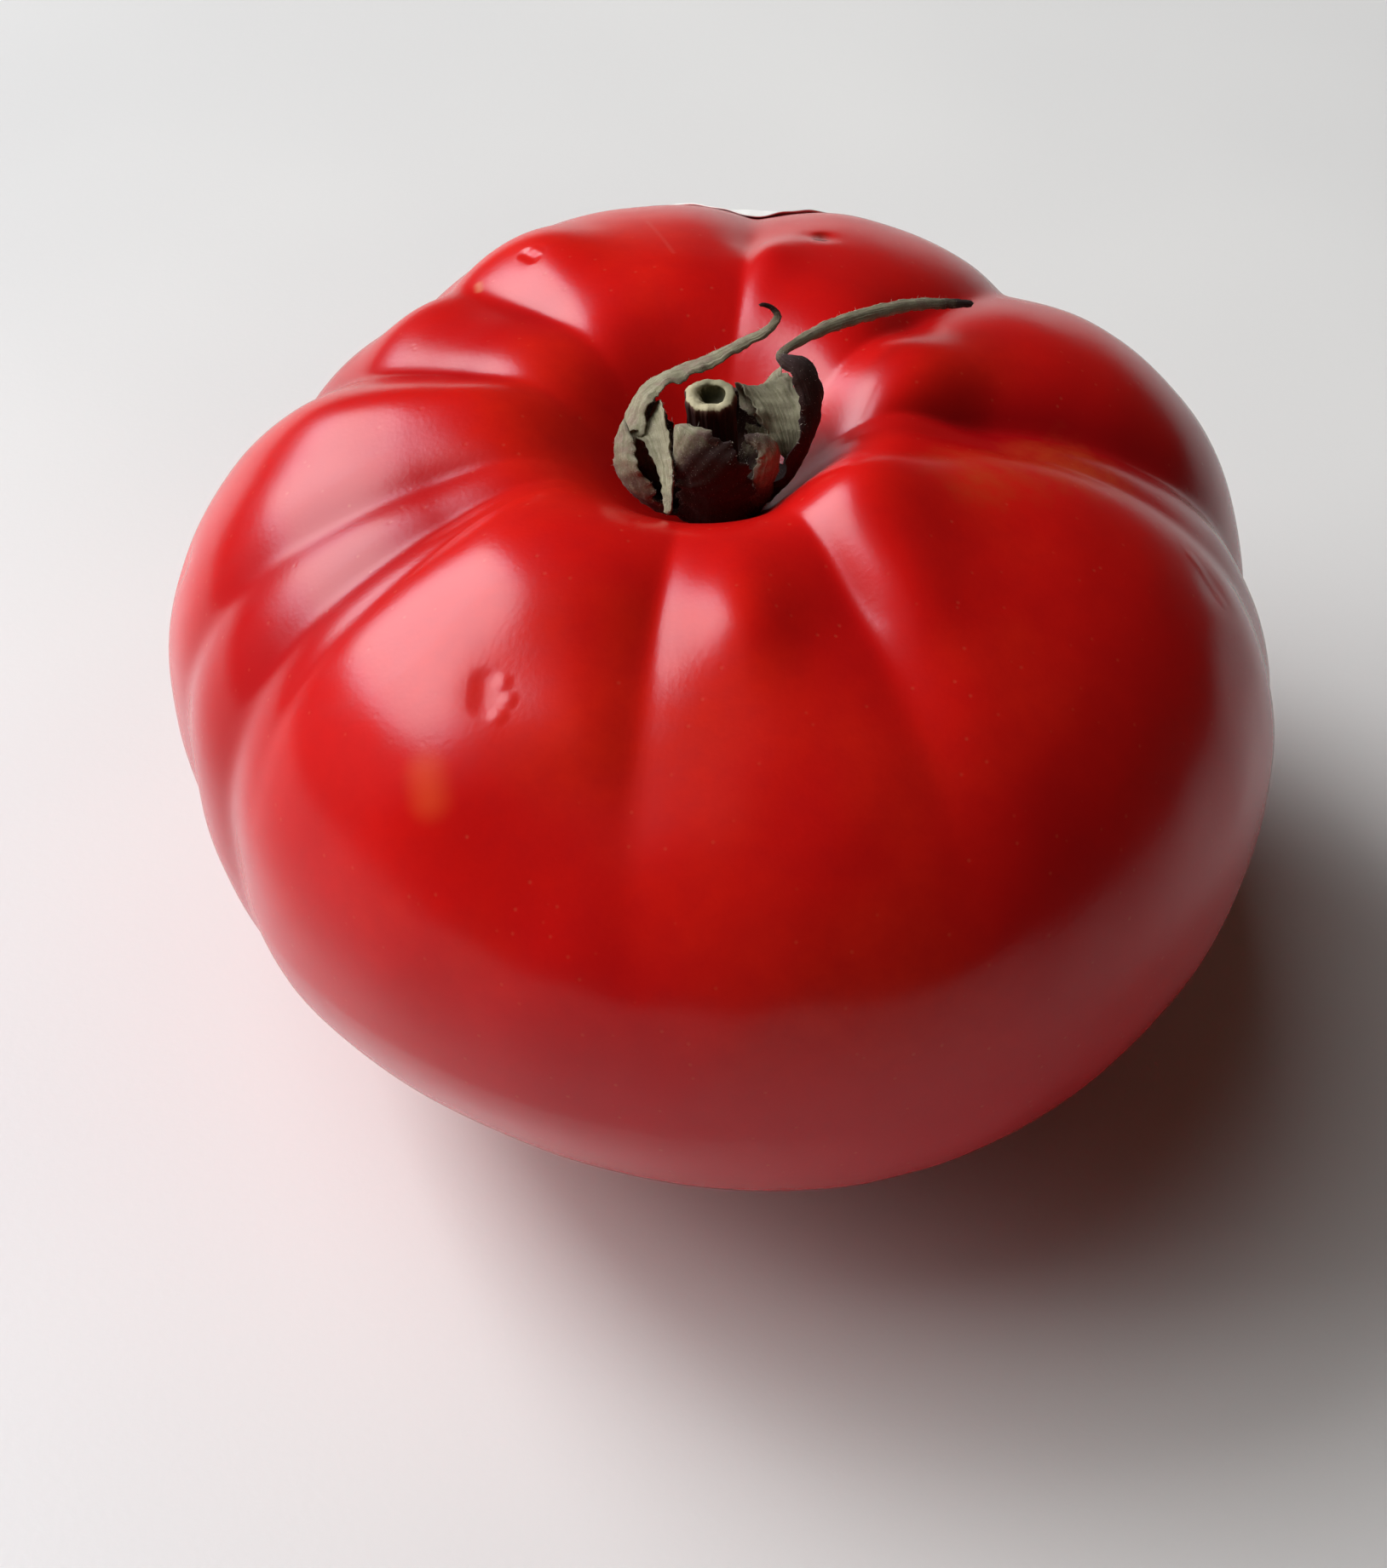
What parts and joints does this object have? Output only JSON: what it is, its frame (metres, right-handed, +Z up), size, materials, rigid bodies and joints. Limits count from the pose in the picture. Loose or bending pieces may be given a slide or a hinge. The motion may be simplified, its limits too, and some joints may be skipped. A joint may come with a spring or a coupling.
{
  "type": "beefsteak tomato",
  "caption": "Ripe ribbed beefsteak tomato with a sunken stem end, dried curled calyx, stalk stub and a small blank sticker, resting on its blossom end.",
  "frame": {"origin": "middle of the small flat spot at the blossom end that the fruit rests on", "axes": "+Z up through the fruit to its stem end; -Y is the side that the stem end leans to and that the picture shows"},
  "size_m": [0.1016, 0.1108, 0.0745],
  "materials": {
    "ripe_skin": "taut, waxy, glossy skin",
    "dried_sepal": "dry, dull, finely haired grey-green",
    "stalk": "dry fibrous brown with a cream cut rim",
    "blank_film": "satin white film"
  },
  "bodies": {
    "root": {"fruit": "ripe_skin", "calyx": "dried_sepal", "stem_stub": "stalk", "sticker": "blank_film"}
  },
  "joints": []
}
